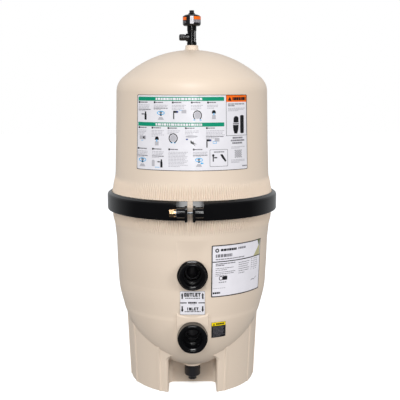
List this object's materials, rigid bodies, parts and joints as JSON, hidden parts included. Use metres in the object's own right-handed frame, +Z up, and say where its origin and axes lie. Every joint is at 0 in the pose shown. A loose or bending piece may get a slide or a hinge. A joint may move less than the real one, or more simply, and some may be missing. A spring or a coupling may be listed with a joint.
{
  "type": "pool filter housing",
  "caption": "Two-part beige pressure tank on a skirt base, joined by a hinged black band clamp, with an air relief valve, two pipe ports and a drain plug.",
  "frame": {"origin": "on the axis of the tank and lid, at the floor that the base skirt stands on", "axes": "+Z up along the tank axis, -Y towards the front with the two ports, +X to the right seen from the front"},
  "size_m": [0.545, 0.596, 1.1845],
  "materials": {
    "beige_shell": "satin moulded glass-filled plastic",
    "black_plastic": "glossy moulded plastic",
    "rubber": "matt moulded rubber",
    "white_plastic": "matt moulded plastic",
    "grid_cloth": "woven polypropylene cloth over a plastic grid",
    "steel": "bright machined stainless steel",
    "brass": "bright machined brass",
    "label_film": null
  },
  "bodies": {
    "housing": {"tank_body": "beige_shell", "base_skirt": "beige_shell", "lid": "beige_shell", "outlet_bulkhead": "black_plastic", "inlet_bulkhead": "black_plastic", "outlet_inner_nut": "black_plastic", "inlet_inner_nut": "black_plastic", "clamp_rear_link": "black_plastic", "valve_body": "black_plastic", "inlet_diffuser": "black_plastic", "tank_o_ring": "rubber", "outlet_gasket": "rubber", "inlet_gasket": "rubber", "valve_ring": "rubber", "manifold": "white_plastic", "grid_spacer": "white_plastic", "outlet_standpipe": "white_plastic", "air_bleed_tube": "white_plastic", "air_bleed_screen": "white_plastic", "filter_grid_1": "grid_cloth", "filter_grid_2": "grid_cloth", "filter_grid_3": "grid_cloth", "filter_grid_4": "grid_cloth", "filter_grid_5": "grid_cloth", "filter_grid_6": "grid_cloth", "filter_grid_7": "grid_cloth", "filter_grid_8": "grid_cloth", "clamp_pin_left": "steel", "clamp_pin_right": "steel", "hold_down_rod": "steel", "rod_washer": "steel", "rod_wing_nut": "brass", "lid_label": "label_film", "nameplate": "label_film", "port_label": "label_film", "caution_label": "label_film"},
    "valve_knob": {"valve_knob": "black_plastic", "valve_stem": "white_plastic", "gauge_port_plug": "black_plastic", "knob_label": "label_film"},
    "clamp_left": {"clamp_left_half": "black_plastic"},
    "clamp_right": {"clamp_right_half": "black_plastic", "clamp_bolt": "steel"},
    "clamp_washer": {"clamp_washer": "steel"},
    "clamp_nut": {"clamp_nut": "brass"},
    "drain_ring": {"drain_plug_ring": "rubber"},
    "drain_plug": {"drain_plug": "black_plastic"},
    "vent_gasket": {"vent_cap_gasket": "rubber"},
    "vent_cap": {"vent_cap": "black_plastic"}
  },
  "joints": [
    {"name": "knob_turn", "type": "hinge", "parent": "housing", "child": "valve_knob", "pos_m": [0, 0, 1.12], "axis": [0, 0, 1], "range_deg": [0, 90]},
    {"name": "clamp_left_swing", "type": "hinge", "parent": "housing", "child": "clamp_left", "pos_m": [-0.018, 0.285, 0.586], "axis": [0, 0, -1], "range_deg": [0, 40]},
    {"name": "clamp_right_swing", "type": "hinge", "parent": "housing", "child": "clamp_right", "pos_m": [0.018, 0.285, 0.586], "axis": [0, 0, 1], "range_deg": [0, 40]},
    {"name": "nut_feed", "type": "slide", "parent": "clamp_left", "child": "clamp_washer", "axis": [-1, 0, 0], "range_m": [0, 0.00793]},
    {"name": "nut_spin", "type": "hinge", "parent": "clamp_washer", "child": "clamp_nut", "pos_m": [-0.058, -0.283, 0.586], "axis": [-1, 0, 0], "range_deg": [0, 1800]},
    {"name": "drain_feed", "type": "slide", "parent": "housing", "child": "drain_ring", "axis": [0, 0, -1], "range_m": [0, 0.01104]},
    {"name": "drain_spin", "type": "hinge", "parent": "drain_ring", "child": "drain_plug", "pos_m": [0, -0.126, 0.04], "axis": [0, 0, -1], "range_deg": [0, 1800]},
    {"name": "vent_feed", "type": "slide", "parent": "housing", "child": "vent_gasket", "axis": [-1, 0, 0], "range_m": [0, 0.00423]},
    {"name": "vent_spin", "type": "hinge", "parent": "vent_gasket", "child": "vent_cap", "pos_m": [-0.034, 0, 1.101], "axis": [-1, 0, 0], "range_deg": [0, 1080]}
  ],
  "couplings": [
    {"joint": "nut_spin", "follows": "nut_feed", "rad_per_m": 3957.9},
    {"joint": "drain_spin", "follows": "drain_feed", "rad_per_m": 2844.7},
    {"joint": "vent_spin", "follows": "vent_feed", "rad_per_m": 4452.7}
  ]
}
